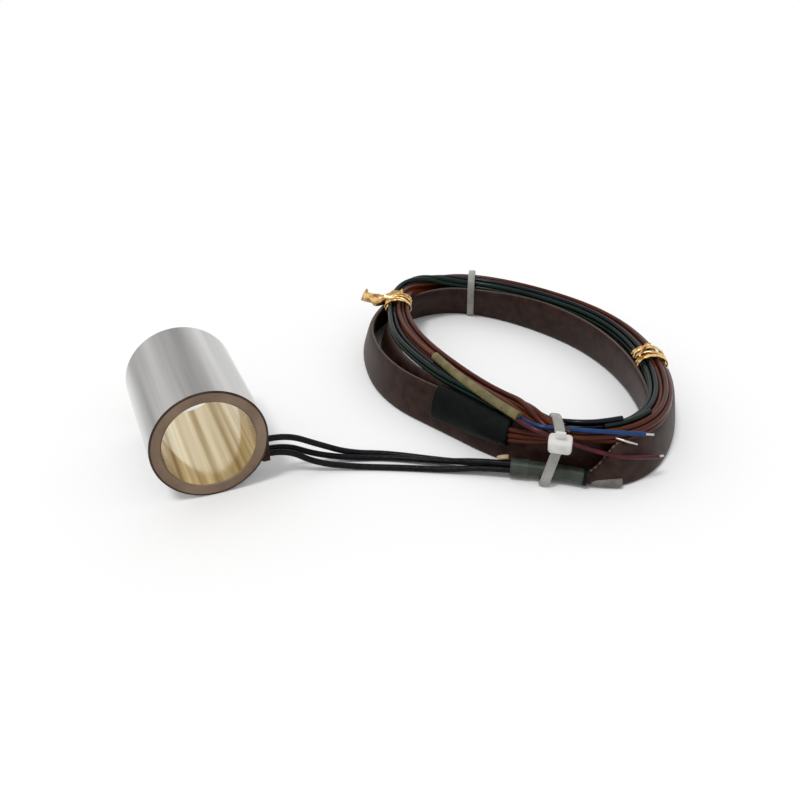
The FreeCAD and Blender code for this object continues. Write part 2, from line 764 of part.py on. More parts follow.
# Loose ends. They lie on the bundle's top or over the outer face of the ring.
SLEEVE_LEVEL = WIRES_TOP + DIMENSIONS["core_sleeve_diameter"] / 2
CORE_LEVEL = WIRES_TOP + DIMENSIONS["core_diameter"] / 2
CORE_SLEEVE = [
    (90.1, 27.0, SLEEVE_LEVEL),
    (90.8, 12.9, SLEEVE_LEVEL),
    (92.8, -0.8, SLEEVE_LEVEL),
    (94.9, -13.0, SLEEVE_LEVEL),
    (97.4, -23.6, SLEEVE_LEVEL),
]
BLUE_CORE = [
    (98.23, -23.41, CORE_LEVEL),
    (99.7, -29.6, CORE_LEVEL),
    (106.2, -33.6, CORE_LEVEL),
    (118.0, -40.8, CORE_LEVEL),
    (130.3, -47.6, CORE_LEVEL),
]
RED_CORE = [
    (96.57, -23.79, CORE_LEVEL),
    (98.2, -30.7, CORE_LEVEL),
    (105.6, -35.9, FLOOR + 16.6),
    (116.5, -44.2, FLOOR + 13.4),
    (127.5, -47.8, FLOOR + 10.8),
    (137.5, -46.8, FLOOR + 8.6),
]
GREEN_TAIL = [
    (120.6, -38.6, WIRES_TOP + 0.9),
    (127.0, -39.0, WIRES_TOP + 0.9),
    (133.6, -38.2, WIRES_TOP + 0.9),
    (140.3, -36.0, WIRES_TOP + 0.9),
]
HOOK = [
    (120.4, -39.6, FLOOR + 17.2),
    (122.4, -43.2, FLOOR + 17.2),
    (124.8, -46.4, FLOOR + 17.0),
    (129.0, -45.6, FLOOR + 14.6),
]


def onward(route, reach):
    """A short straight route that goes on from the end of another."""
    end = Vector(*route[-1])
    heading = (end - Vector(*route[-2])).normalize()
    tip = end + heading * reach
    return [(end.x, end.y, end.z), (tip.x, tip.y, tip.z)]


def build_loose_ends():
    node(cord("core_sleeve", CORE_SLEEVE, "core_sleeve_diameter"), "core_sleeve")
    node(cord("blue_tail", BLUE_CORE, "core_diameter"), "blue_tail")
    node(cord("red_tail", RED_CORE, "core_diameter"), "red_tail")
    node(cord("green_tail", GREEN_TAIL, "tail_diameter"), "green_tail")
    node(cord("blue_tip", onward(BLUE_CORE, 2.6), "bare_diameter"), "blue_tip")
    node(cord("red_tip", onward(RED_CORE, 2.4), "bare_diameter"), "red_tip")
    hook = cord("hook", HOOK, "bare_diameter")
    node(cut("hook_tip", hook, [wire_ring("hook_seat")]), "hook_tip")


def main():
    build_sheet()
    build_core()
    build_shell()
    build_exit_seal()
    build_element()
    build_end_plug()
    build_probe()
    build_leads()
    build_joint()
    build_ring()
    build_end_sleeve()
    build_cable_ties()
    build_twist_ties()
    build_loose_ends()
    export()


def export():
    document.recompute()
    os.makedirs("parts", exist_ok=True)
    for item in document.Objects:
        if "Invalid" in item.State or "Error" in item.State:
            raise RuntimeError("failed feature: " + item.Name)
    for item in nodes:
        shape = item.Shape
        if shape.isNull() or not shape.isValid():
            raise RuntimeError("bad shape: " + item.Label)
        print("%s: %d solids, %.1f mm3" % (item.Label, len(shape.Solids), shape.Volume))
        shape.exportStep("parts/%s.step" % item.Label)
    print("%d nodes" % len(nodes))


main()
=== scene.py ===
# %% [markdown]
# # Coil heater with its lead cable
# The object is a nozzle heater: a brass tube in a polished steel shell, with a heating element
# wound between them. Three sleeved leads leave its lead end and run over the floor to a joint,
# and from there a flat braided cable is wound in a ring. Its loose wires are wound on top.
# The frame is the CAD's own: metres, the bore along +Y, the floor at z = -0.019.

import math

import bpy
from mathutils import Matrix, Vector


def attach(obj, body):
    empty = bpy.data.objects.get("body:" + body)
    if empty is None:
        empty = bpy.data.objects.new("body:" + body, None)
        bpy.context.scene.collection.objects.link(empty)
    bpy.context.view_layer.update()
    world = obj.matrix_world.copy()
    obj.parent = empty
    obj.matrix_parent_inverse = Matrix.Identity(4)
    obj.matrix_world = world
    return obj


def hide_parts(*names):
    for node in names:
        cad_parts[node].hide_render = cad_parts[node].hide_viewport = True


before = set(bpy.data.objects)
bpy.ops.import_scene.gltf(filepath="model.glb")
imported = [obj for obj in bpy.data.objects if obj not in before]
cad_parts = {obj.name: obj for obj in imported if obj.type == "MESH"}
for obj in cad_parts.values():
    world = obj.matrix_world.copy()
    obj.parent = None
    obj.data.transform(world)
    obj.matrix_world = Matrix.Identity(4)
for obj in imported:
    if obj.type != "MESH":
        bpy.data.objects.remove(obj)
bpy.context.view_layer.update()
MM = 0.001
FLOOR_MM = -19.0
BODY = "root"


def metres(route):
    """A route given in millimetres becomes points in metres."""
    return [Vector(point) * MM for point in route]


# %% [markdown]
# ## Camera
# The photo looks down on the heater at about thirty degrees from the front left. The lens and
# place were found by matching the round rims of the shell and the bore to their outlines.

# %% Camera
LENS_MM = 40.5
CAMERA_PLACE = Vector((-36.1, -243.7, 153.0)) * MM
CAMERA_HEADING = Vector((0.332, 0.802, -0.4965))


def add_camera():
    data = bpy.data.cameras.new("photo_camera")
    data.lens = LENS_MM
    data.sensor_width = 36.0
    data.clip_start = 0.01
    camera = bpy.data.objects.new("photo_camera", data)
    bpy.context.scene.collection.objects.link(camera)
    camera.location = CAMERA_PLACE
    camera.rotation_euler = CAMERA_HEADING.to_track_quat("-Z", "Y").to_euler()
    bpy.context.scene.camera = camera
    return camera


camera = add_camera()
print("camera at", [round(value, 3) for value in camera.location])


# %% [markdown]
# ## Helpers for cords
# Every cord follows a short list of given points. A smooth curve of one spline runs
# near those points, and either gets round thickness itself or guides a mesh.

# %% Cord helpers
def spline_curve(name, points, radius, smooth=4):
    curve = bpy.data.curves.new(name, "CURVE")
    curve.dimensions = "3D"
    curve.resolution_u = smooth
    spline = curve.splines.new("NURBS")
    spline.points.add(len(points) - 1)
    for target, point in zip(spline.points, points):
        target.co = (point[0], point[1], point[2], 1.0)
        # Blender counts this radius in a curve's box, so it holds the tube's own size.
        target.radius = radius
    spline.order_u = 3
    spline.use_endpoint_u = True
    curve.bevel_depth = 1.0 if radius > 0 else 0.0
    curve.bevel_resolution = 4
    curve.use_fill_caps = radius > 0
    thing = bpy.data.objects.new(name, curve)
    bpy.context.scene.collection.objects.link(thing)
    if radius > 0:
        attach(thing, BODY)
    return thing


def spline_points(points, smooth=12):
    """Points that lie on the spline through a route's control points."""
    guide = spline_curve("guide", points, 0.0, smooth)
    view = bpy.context.evaluated_depsgraph_get()
    mesh = bpy.data.meshes.new_from_object(guide.evaluated_get(view), depsgraph=view)
    found = [vertex.co.copy() for vertex in mesh.vertices]
    bpy.data.objects.remove(guide)
    bpy.data.meshes.remove(mesh)
    return found


def length_along(points):
    return sum((b - a).length for a, b in zip(points, points[1:]))


def evenly(points, step):
    """The same line with points an even step apart."""
    total = length_along(points)
    count = max(2, round(total / step))
    result = [points[0].copy()]
    walked = 0.0
    index = 0
    for number in range(1, count):
        target = total * number / count
        while walked + (points[index + 1] - points[index]).length < target:
            walked += (points[index + 1] - points[index]).length
            index += 1
        part = (target - walked) / (points[index + 1] - points[index]).length
        result.append(points[index].lerp(points[index + 1], part))
    result.append(points[-1].copy())
    return result


def smoothstep(value, low, high):
    part = min(1.0, max(0.0, (value - low) / (high - low)))
    return part * part * (3 - 2 * part)


def swept_mesh(name, line, section_at):
    """A closed tube: section_at(index, fraction) gives outline points across the line."""
    vertices = []
    faces = []
    rings = []
    marks = []
    walked = 0.0
    for index, point in enumerate(line):
        before = line[max(0, index - 1)]
        after = line[min(len(line) - 1, index + 1)]
        if index:
            walked += (point - line[index - 1]).length
        heading = (after - before).normalized()
        outline = section_at(index / (len(line) - 1), walked, point, heading)
        rings.append(len(vertices))
        vertices.extend(outline)
        marks.append(walked)
    size = len(vertices) // len(line)
    for row in range(len(line) - 1):
        for column in range(size):
            following = (column + 1) % size
            faces.append((
                rings[row] + column, rings[row] + following,
                rings[row + 1] + following, rings[row + 1] + column))
    faces.append(tuple(reversed(range(size))))
    faces.append(tuple(range(rings[-1], rings[-1] + size)))
    mesh = bpy.data.meshes.new(name)
    mesh.from_pydata(vertices, [], faces)
    layer = mesh.uv_layers.new(name="along")
    side_faces = (len(line) - 1) * size
    for polygon in mesh.polygons:
        polygon.use_smooth = True
        if polygon.index >= side_faces:
            continue
        row, column = divmod(polygon.index, size)
        spots = [(column, row), (column + 1, row), (column + 1, row + 1), (column, row + 1)]
        for loop, (across, along) in zip(polygon.loop_indices, spots):
            layer.data[loop].uv = (across / size, marks[along] / MM)
    thing = bpy.data.objects.new(name, mesh)
    bpy.context.scene.collection.objects.link(thing)
    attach(thing, BODY)
    return thing


# %% [markdown]
# ## Leads
# Three glass-sleeved leads leave the cement plug one above the other, sink to the floor within
# a few centimetres and gather at the mouth of the joint. Each follows the CAD's own route.

# %% Lead routes and the joint's place
MOUTH = Vector((93.2, -27.6, FLOOR_MM + 3.95))
MOUTH_HEADING = Vector((0.84, -0.543, 0.0)).normalized()
MOUTH_SIDE = Vector((0.543, 0.84, 0.0)).normalized()
LEAD_REACH = 4.0


def mouth_point(side, rise, ahead):
    """A point in millimetres beside the joint's axis, ahead of its mouth or before it."""
    return MOUTH + MOUTH_SIDE * side + Vector((0, 0, rise)) + MOUTH_HEADING * ahead


LEAD_DIAMETER = 2.1 * MM
LEAD_UPPER = [
    (19.1, 3.2, FLOOR_MM + 14.8),
    (25.7, 3.2, FLOOR_MM + 14.8),
    (36.0, 3.4, FLOOR_MM + 8.6),
    (47.5, 4.4, FLOOR_MM + 1.6),
    (60.0, -0.3, FLOOR_MM + 1.08),
    (76.0, -11.9, FLOOR_MM + 1.15),
    mouth_point(1.07, -0.62, -9.0),
    mouth_point(1.07, -0.62, LEAD_REACH),
]
LEAD_MIDDLE = [
    (19.1, 5.4, FLOOR_MM + 9.6),
    (25.5, 5.4, FLOOR_MM + 9.6),
    (35.0, 4.4, FLOOR_MM + 4.2),
    (47.5, 1.5, FLOOR_MM + 1.2),
    (60.0, -3.2, FLOOR_MM + 1.15),
    (75.0, -14.0, FLOOR_MM + 2.3),
    mouth_point(0.0, 1.2, -9.0),
    mouth_point(0.0, 1.2, LEAD_REACH),
]
LEAD_LOWER = [
    (19.1, 2.9, FLOOR_MM + 9.3),
    (25.2, 2.9, FLOOR_MM + 9.3),
    (34.5, 0.2, FLOOR_MM + 3.2),
    (47.0, -3.9, FLOOR_MM + 1.1),
    (61.0, -10.3, FLOOR_MM + 1.08),
    (75.0, -17.9, FLOOR_MM + 1.3),
    mouth_point(-1.07, -0.62, -8.0),
    mouth_point(-1.07, -0.62, LEAD_REACH),
]

# %% Lay the leads
leads = []
for lead_name, lead_route in (
    ("lead_upper", LEAD_UPPER),
    ("lead_middle", LEAD_MIDDLE),
    ("lead_lower", LEAD_LOWER),
):
    lead_points = metres(lead_route)
    lead = spline_curve(lead_name, lead_points, LEAD_DIAMETER / 2, smooth=10)
    lead_length = length_along(spline_points(lead_points))
    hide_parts(lead_name.replace("lead_", "lead_sleeve_"))
    leads.append(lead)
    print(lead_name, "length in mm", round(lead_length / MM, 1))


# %% [markdown]
# ## The flat braid
# The braid leaves the joint as a thin ribbed tail, lies down and opens to a flat band on edge.
# It makes two turns: the first is the outer wall of the ring and the second runs inside it, with
# a trough between them at the right and the back. Both lean inward a little at the top.

# %% Route of the braid
BAND_HEIGHT = 16.0
BAND_THICKNESS = 3.0
TAIL_SIZE = 4.3
BRAID_ROUTE = [
    (113.3, -41.75), (118.6, -44.2), (126.0, -45.3), (137.0, -43.4), (149.5, -35.3),
    (163.0, -21.0), (172.5, -4.0), (177.0, 15.0), (177.3, 33.0), (173.5, 51.0),
    (163.0, 76.0), (147.0, 97.0), (130.5, 105.6), (114.0, 106.0), (99.5, 98.5),
    (87.4, 85.5), (79.0, 69.0), (75.3, 52.0), (75.0, 38.5), (77.4, 25.5),
    (83.0, 12.5), (88.2, 0.5), (92.3, -9.5), (97.4, -18.3), (103.9, -26.0),
    (112.0, -33.0), (121.5, -37.8), (131.5, -38.8), (141.5, -35.6), (150.5, -25.5),
    (158.6, -9.0), (164.2, 9.0), (166.6, 29.0), (164.6, 49.0), (157.2, 69.5),
    (145.0, 87.5), (131.0, 99.2), (114.0, 99.0), (101.0, 91.8), (91.2, 78.5),
    (85.6, 64.0), (82.6, 50.5), (81.6, 39.0), (83.2, 26.5), (87.0, 14.5), (90.4, 6.0),
]


def braid_lean(point):
    """The band leans inward at the top, and most of all at the back."""
    return math.radians(9.0 + 14.0 * smoothstep(point.y / MM, 62.0, 96.0))


def braid_height(walked):
    """Height of the band at a distance along it: it opens out of its tail."""
    return (TAIL_SIZE + (BAND_HEIGHT - TAIL_SIZE) * smoothstep(walked, 0.5, 10.0)) * MM


def braid_section(fraction, walked, point, heading):
    """A flat outline with rounded fold edges, on edge on the floor and leaning inward."""
    distance = walked / MM
    height = braid_height(distance)
    opened = smoothstep(distance, 2.0, 20.0)
    thickness = (4.1 + (BAND_THICKNESS - 4.1) * opened) * MM
    lean = braid_lean(point) * smoothstep(distance, 3.0, 16.0)
    level = Vector((heading.x, heading.y, 0)).normalized()
    left = Vector((-level.y, level.x, 0))
    up = Vector((0, 0, 1)) * math.cos(lean) + left * math.sin(lean)
    side = left * math.cos(lean) - Vector((0, 0, 1)) * math.sin(lean)
    foot = 1.2 * MM * (1 - smoothstep(distance, 1.0, 8.0))
    reach = height / 2 * math.cos(lean)
    centre = Vector((point.x, point.y, FLOOR_MM * MM + foot + reach + 0.15 * MM))
    outline = []
    steps = 28
    for number in range(steps):
        angle = 2 * math.pi * number / steps
        bulge = abs(math.cos(angle)) ** 0.75 * (1 if math.cos(angle) > 0 else -1)
        rise = abs(math.sin(angle)) ** 0.55 * (1 if math.sin(angle) > 0 else -1)
        outline.append(centre + side * (bulge * thickness / 2) + up * (rise * height / 2))
    return outline


braid_line = evenly(spline_points([Vector((x, y, FLOOR_MM + 8)) * MM for x, y in BRAID_ROUTE]), 1.6 * MM)
braid = swept_mesh("flat_braid", braid_line, braid_section)

# The gathered end of the braid shows in front of its unfolded part.
TAIL_ROUTE = [
    (112.6, -41.3, FLOOR_MM + 3.1), (118.2, -44.9, FLOOR_MM + 2.4), (123.8, -46.9, FLOOR_MM + 1.9),
]
braid_tail = spline_curve("ribbed_tail", metres(TAIL_ROUTE), 1.8 * MM, 10)

# %% [markdown]
# ## Loose wires
# Five wires leave the braid's end in a black shrink sleeve, climb over the ring's front and are
# wound a little over two turns on top of it. In cross-section they keep lanes, like wires drawn
# from one spool: a first layer of five, then the same five again one diameter higher. At the left
# twist tie the whole bundle turns half over, and it turns back before the front cable tie.

# %% Route of the bundle
WIRE_DIAMETER = 1.9 * MM
BUNDLE_ROUTE = [
    (113.5, -36.0, 17.5), (122.5, -39.5, 17.2), (132.0, -39.6, 17.2), (142.0, -35.6, 17.2),
    (152.0, -26.8, 17.0), (161.0, -13.5, 16.8), (168.0, 3.0, 16.6), (171.8, 20.0, 16.4),
    (172.2, 36.0, 16.4), (168.6, 52.0, 16.4), (159.5, 72.0, 16.4), (145.5, 90.5, 16.6),
    (130.0, 100.5, 16.8), (115.5, 100.8, 17.0), (104.5, 92.5, 17.6), (96.5, 79.0, 18.0),
    (91.5, 63.5, 17.6), (89.9, 49.0, 17.2), (90.6, 34.0, 17.0), (92.6, 18.0, 17.0),
    (95.4, 3.0, 17.2), (98.9, -10.0, 17.6), (102.6, -21.0, 17.9), (107.3, -30.0, 17.8),
]
LANE_ACROSS = 1.68
LANE_ZIGZAG = 0.98
LAYER_RISE = 1.95
PER_TURN = 36


def closed_line(points):
    """Even samples of one closed turn through the given points."""
    count = len(points)
    samples = []
    for number in range(PER_TURN):
        place = number * count / PER_TURN
        index = int(place)
        part = place - index
        a, b, c, d = (Vector(points[(index + step) % count]) for step in (-1, 0, 1, 2))
        samples.append(0.5 * (
            2 * b + (c - a) * part + (2 * a - 5 * b + 4 * c - d) * part ** 2
            + (3 * b - a - 3 * c + d) * part ** 3))
    return samples


bundle_line = closed_line(BUNDLE_ROUTE)


def half_over(turns):
    """Angle by which the bundle has turned over at a place on the ring."""
    place = turns % 1.0
    return math.pi * (smoothstep(place, 0.48, 0.605) + smoothstep(place, 0.86, 0.985))


def wire_place(lane, turns):
    """A wire's centre at a number of turns from the front cable tie."""
    place = (turns % 1.0) * PER_TURN
    index = int(place) % PER_TURN
    following = (index + 1) % PER_TURN
    centre = bundle_line[index].lerp(bundle_line[following], place - int(place))
    heading = bundle_line[(index + 2) % PER_TURN] - bundle_line[index - 1]
    heading = Vector((heading.x, heading.y, 0)).normalized()
    outward = Vector((heading.y, -heading.x, 0))
    whole = math.floor(turns + 0.5)
    layer = whole - 1 + smoothstep(turns - whole, -0.06, 0.06)
    ring_place = turns % 1.0
    apart = smoothstep(ring_place, 0.63, 0.71) * (1 - smoothstep(ring_place, 0.77, 0.86))
    across = (2 - lane) * LANE_ACROSS * (1 + (0.7 if lane > 2 else 0.1) * apart)
    rise = (lane % 2) * LANE_ZIGZAG + layer * LAYER_RISE - 1.45
    angle = half_over(turns)
    flip = math.cos(angle), math.sin(angle)
    out = across * flip[0] + rise * flip[1]
    up = -across * flip[1] + rise * flip[0]
    return centre + outward * out + Vector((0, 0, FLOOR_MM + up))


def wire_route(lane, first, last, lead_in, lead_out=()):
    """The wire's points: given ends and the counted turns between them."""
    steps = round((last - first) * PER_TURN)
    wound = [wire_place(lane, first + (last - first) * n / steps) for n in range(steps + 1)]
    return metres([*lead_in, *wound, *lead_out])


# The wires come out of the black sleeve side by side, in two rows.
SLEEVE_END = [
    (92.6, -14.0, FLOOR_MM + 12.6), (92.0, -14.4, FLOOR_MM + 10.6), (92.2, -14.2, FLOOR_MM + 8.6),
    (93.2, -13.6, FLOOR_MM + 11.6), (93.0, -13.8, FLOOR_MM + 9.6),
]
GATHER = [
    (98.6, -24.6, FLOOR_MM + 14.0), (98.0, -25.0, FLOOR_MM + 12.0), (98.2, -24.8, FLOOR_MM + 10.0),
    (99.6, -23.8, FLOOR_MM + 13.0), (99.2, -24.0, FLOOR_MM + 11.0),
]


def lead_in(lane):
    return [SLEEVE_END[lane], GATHER[lane]]


# %% Lay the wires
WIRES = [
    ("brown_wire_a", 0, 1.985, "wire_brown"),
    ("brown_wire_b", 1, 1.975, "wire_brown"),
    ("sensor_wire", 2, 1.80, "wire_tan"),
    ("navy_wire", 3, 2.065, "wire_navy"),
    ("green_wire", 4, 2.02, "wire_green"),
]
wires = {}
for wire_name, lane, last_turn, _ in WIRES:
    wire_points = wire_route(lane, 0.035, last_turn, lead_in(lane))
    wire = spline_curve(wire_name, wire_points, WIRE_DIAMETER / 2, smooth=4)
    wire_length = length_along(spline_points(wire_points, 6))
    wires[wire_name] = (wire, wire_points, wire_length)
    print(wire_name, "length in mm", round(wire_length / MM))

# %% [markdown]
# ## Sleeve, cores and tails
# The sensor wire ends in a cream glass sleeve. Two thin cores leave it, one blue and one red,
# and end bare at the front. Their routes are those of the CAD.

# %% Routes of the loose ends
WIRES_TOP = FLOOR_MM + 18.5
SLEEVE_LEVEL = WIRES_TOP + 1.6
CORE_LEVEL = WIRES_TOP + 0.8
CORE_SLEEVE = [
    (90.1, 27.0, SLEEVE_LEVEL), (90.8, 12.9, SLEEVE_LEVEL), (92.8, -0.8, SLEEVE_LEVEL),
    (94.9, -13.0, SLEEVE_LEVEL), (97.4, -23.6, SLEEVE_LEVEL),
]
BLUE_CORE = [
    (98.23, -23.41, CORE_LEVEL), (99.7, -29.6, CORE_LEVEL), (106.2, -33.6, CORE_LEVEL),
    (118.0, -40.8, CORE_LEVEL), (130.3, -47.6, CORE_LEVEL),
]
RED_CORE = [
    (96.57, -23.79, CORE_LEVEL), (98.2, -30.7, CORE_LEVEL), (105.6, -35.9, FLOOR_MM + 16.6),
    (116.5, -44.2, FLOOR_MM + 13.4), (127.5, -47.8, FLOOR_MM + 10.8), (137.5, -46.8, FLOOR_MM + 8.6),
]


# %% [markdown]
# ## Materials
# Each finish is built from noise, waves and simple colour ramps. The shell and the bore mirror
# the white surroundings, and their streaks are colour drawn out along the bore. They stand in
# for the reflections in the photo. The braid is a fine brown weave.

# %% Material helpers
def new_material(name):
    material = bpy.data.materials.new(name)
    material.use_nodes = True
    nodes = material.node_tree.nodes
    return material, nodes, material.node_tree.links, nodes["Principled BSDF"]


def put(nodes, kind, **values):
    item = nodes.new(kind)
    for key, value in values.items():
        if key in item.inputs:
            item.inputs[key].default_value = value
        else:
            setattr(item, key, value)
    return item


def noise_colours(nodes, links, shader, dark, light, scale, coordinate="Object", stretch=(1, 1, 1)):
    """Mottles a surface between two colours."""
    where = nodes.new("ShaderNodeTexCoord")
    spread = nodes.new("ShaderNodeMapping")
    spread.inputs["Scale"].default_value = stretch
    noise = put(nodes, "ShaderNodeTexNoise", Scale=scale, Detail=5.0)
    ramp = nodes.new("ShaderNodeValToRGB")
    ramp.color_ramp.elements[0].position = 0.32
    ramp.color_ramp.elements[1].position = 0.68
    ramp.color_ramp.elements[0].color = (*dark, 1)
    ramp.color_ramp.elements[1].color = (*light, 1)
    links.new(where.outputs[coordinate], spread.inputs["Vector"])
    links.new(spread.outputs["Vector"], noise.inputs["Vector"])
    links.new(noise.outputs["Fac"], ramp.inputs["Fac"])
    links.new(ramp.outputs["Color"], shader.inputs["Base Color"])
    return noise, ramp, spread


def add_bump(nodes, links, shader, source, strength, distance):
    bump = put(nodes, "ShaderNodeBump", Strength=strength, Distance=distance)
    links.new(source, bump.inputs["Height"])
    links.new(bump.outputs["Normal"], shader.inputs["Normal"])
    return bump


def plastic(name, dark, light, roughness, scale=300.0, coat=0.1, shine=0.2):
    material, nodes, links, shader = new_material(name)
    shader.inputs["Roughness"].default_value = roughness
    shader.inputs["Specular IOR Level"].default_value = shine
    shader.inputs["Coat Weight"].default_value = coat
    shader.inputs["Coat Roughness"].default_value = 0.06
    noise, _, _ = noise_colours(nodes, links, shader, dark, light, scale)
    add_bump(nodes, links, shader, noise.outputs["Fac"], 0.06, 0.00006)
    return material


def metal(name, dark, light, roughness, scale=120.0, stretch=(1, 1, 1), bump=0.1):
    material, nodes, links, shader = new_material(name)
    shader.inputs["Metallic"].default_value = 1.0
    shader.inputs["Roughness"].default_value = roughness
    noise, _, _ = noise_colours(nodes, links, shader, dark, light, scale, stretch=stretch)
    add_bump(nodes, links, shader, noise.outputs["Fac"], bump, 0.00005)
    return material


def woven(name, dark, light, roughness, threads, across=1.0, shine=0.5):
    """A weave: crossing waves along and round the piece, for braid and glass sleeves."""
    material, nodes, links, shader = new_material(name)
    shader.inputs["Roughness"].default_value = roughness
    shader.inputs["Specular IOR Level"].default_value = shine
    noise, ramp, _ = noise_colours(nodes, links, shader, dark, light, 260.0)
    where = nodes.new("ShaderNodeTexCoord")
    heights = []
    for turn in (0.7, -0.7):
        lay = nodes.new("ShaderNodeMapping")
        lay.inputs["Rotation"].default_value = (0, 0, turn)
        lay.inputs["Scale"].default_value = (across, 1, 1)
        wave = put(nodes, "ShaderNodeTexWave", Scale=threads)
        links.new(where.outputs["UV"], lay.inputs["Vector"])
        links.new(lay.outputs["Vector"], wave.inputs["Vector"])
        heights.append(wave)
    both = put(nodes, "ShaderNodeMath", operation="MULTIPLY")
    links.new(heights[0].outputs["Fac"], both.inputs[0])
    links.new(heights[1].outputs["Fac"], both.inputs[1])
    add_bump(nodes, links, shader, both.outputs[0], 0.35, 0.0002)
    return material


def painted_rib_sheen(material, light, painted_sheen_colour):
    """Painted sheen: lighter ribs across the braid's two folded edges, where the threads turn."""
    nodes = material.node_tree.nodes
    links = material.node_tree.links
    shader = nodes["Principled BSDF"]
    base = shader.inputs["Base Color"].links[0].from_socket
    where = nodes.new("ShaderNodeUVMap")
    split = nodes.new("ShaderNodeSeparateXYZ")
    edge = nodes.new("ShaderNodeValToRGB")
    spots = ((0.0, 0), (0.205, 0), (0.25, 1), (0.295, 0), (0.705, 0), (0.75, 1), (0.795, 0))
    while len(edge.color_ramp.elements) < len(spots):
        edge.color_ramp.elements.new(0.5)
    for element, (place, value) in zip(edge.color_ramp.elements, spots):
        element.position = place
        element.color = (value, value, value, 1)
    turn = put(nodes, "ShaderNodeMath", operation="MULTIPLY")
    turn.inputs[1].default_value = 2 * math.pi / 1.3
    wave = put(nodes, "ShaderNodeMath", operation="SINE")
    lift = put(nodes, "ShaderNodeMath", operation="MULTIPLY_ADD")
    lift.inputs[1].default_value = 0.42
    lift.inputs[2].default_value = 0.5
    amount = put(nodes, "ShaderNodeMath", operation="MULTIPLY")
    share = put(nodes, "ShaderNodeMath", operation="MULTIPLY")
    share.inputs[1].default_value = light
    mix = put(nodes, "ShaderNodeMix", data_type="RGBA")
    links.new(where.outputs["UV"], split.inputs["Vector"])
    links.new(split.outputs["X"], edge.inputs["Fac"])
    links.new(split.outputs["Y"], turn.inputs[0])
    links.new(turn.outputs[0], wave.inputs[0])
    links.new(wave.outputs[0], lift.inputs[0])
    links.new(edge.outputs["Color"], amount.inputs[0])
    links.new(lift.outputs[0], amount.inputs[1])
    links.new(amount.outputs[0], share.inputs[0])
    links.new(share.outputs[0], mix.inputs["Factor"])
    links.new(base, mix.inputs[6])
    mix.inputs[7].default_value = (*painted_sheen_colour, 1)
    links.new(mix.outputs[2], shader.inputs["Base Color"])


# %% Materials of the cable
black_sleeve = woven("black_sleeve", (0.002, 0.002, 0.003), (0.008, 0.008, 0.010), 0.32, 0.9, 12.0,
                     shine=0.10)
brown_braid = woven("brown_braid", (0.014, 0.0055, 0.0038), (0.038, 0.0165, 0.0115), 0.42, 0.9, 40.0,
                    shine=0.12)
# Painted highlight: the braid's fold edges get lighter ribs in the base colour.
painted_rib_sheen(brown_braid, 0.8, (0.28, 0.22, 0.19))
grey_braid = woven("grey_braid", (0.06, 0.052, 0.048), (0.15, 0.135, 0.125), 0.4, 2.2, 1.0)
wire_brown = plastic("wire_brown", (0.036, 0.0055, 0.0016), (0.080, 0.015, 0.0045), 0.28, 90.0, 0.1, 0.12)
wire_tan = plastic("wire_tan", (0.055, 0.011, 0.0035), (0.105, 0.026, 0.009), 0.28, 90.0, 0.1, 0.12)
wire_navy = plastic("wire_navy", (0.001, 0.0015, 0.004), (0.003, 0.0045, 0.011), 0.25, 90.0, 0.1, 0.12)
wire_green = plastic("wire_green", (0.001, 0.006, 0.004), (0.003, 0.017, 0.011), 0.25, 90.0, 0.1, 0.12)
black_shrink = plastic("black_shrink", (0.001, 0.0018, 0.0013), (0.003, 0.005, 0.004), 0.5,
                       coat=0.0, shine=0.08)
cream_glass = woven("cream_glass", (0.085, 0.068, 0.020), (0.18, 0.145, 0.052), 0.6, 1.2, 10.0)
cream_tape = plastic("cream_tape", (0.30, 0.22, 0.12), (0.45, 0.35, 0.22), 0.7, coat=0.0)
blue_jacket = plastic("blue_jacket", (0.001, 0.018, 0.075), (0.004, 0.042, 0.15), 0.3)
red_jacket = plastic("red_jacket", (0.030, 0.001, 0.004), (0.070, 0.004, 0.010), 0.3)
tinned = metal("tinned", (0.35, 0.34, 0.32), (0.6, 0.58, 0.55), 0.3)

# %% Materials of the heater and the small parts
# Painted reflections: the shell's light and dark streaks, drawn out along the bore and far stronger than
# the steel's own polish marks, stand for what polished steel mirrors.
polished_steel = metal("polished_steel", (0.20, 0.195, 0.19), (0.70, 0.695, 0.685), 0.12, 70.0,
                       stretch=(1, 0.03, 1), bump=0.05)
dark_rim = metal("dark_rim", (0.035, 0.024, 0.018), (0.07, 0.05, 0.038), 0.5, 200.0)
satin_brass = metal("satin_brass", (0.145, 0.095, 0.065), (0.23, 0.16, 0.108), 0.45, 90.0)
satin_brass.node_tree.nodes["Principled BSDF"].inputs["Metallic"].default_value = 0.6
# Painted reflections: the bore's light and dark streaks along its axis stand for what the turned brass
# mirrors.
bright_brass_painted_reflections = metal("bright_brass_painted_reflections", (0.34, 0.235, 0.10), (0.92, 0.82, 0.58), 0.12, 70.0,
                     stretch=(3, 0.05, 3), bump=0.05)
bright_brass_painted_reflections.node_tree.nodes["Principled BSDF"].inputs["Metallic"].default_value = 0.9
cement = plastic("cement", (0.012, 0.004, 0.003), (0.035, 0.012, 0.008), 0.8, 700.0, coat=0.0)
silicone = plastic("silicone", (0.018, 0.023, 0.017), (0.042, 0.050, 0.039), 0.35, 200.0)
nylon = plastic("nylon", (0.56, 0.55, 0.52), (0.74, 0.73, 0.70), 0.4, 150.0)
thin_nylon = plastic("thin_nylon", (0.30, 0.29, 0.27), (0.44, 0.43, 0.40), 0.35, 150.0)
thin_nylon.node_tree.nodes["Principled BSDF"].inputs["Alpha"].default_value = 0.72
gold_foil = metal("gold_foil", (0.45, 0.20, 0.05), (0.98, 0.72, 0.34), 0.25, 500.0, bump=0.8)


def give(thing, material, slot_name):
    thing.data.materials.clear()
    thing.data.materials.append(material)
    return thing


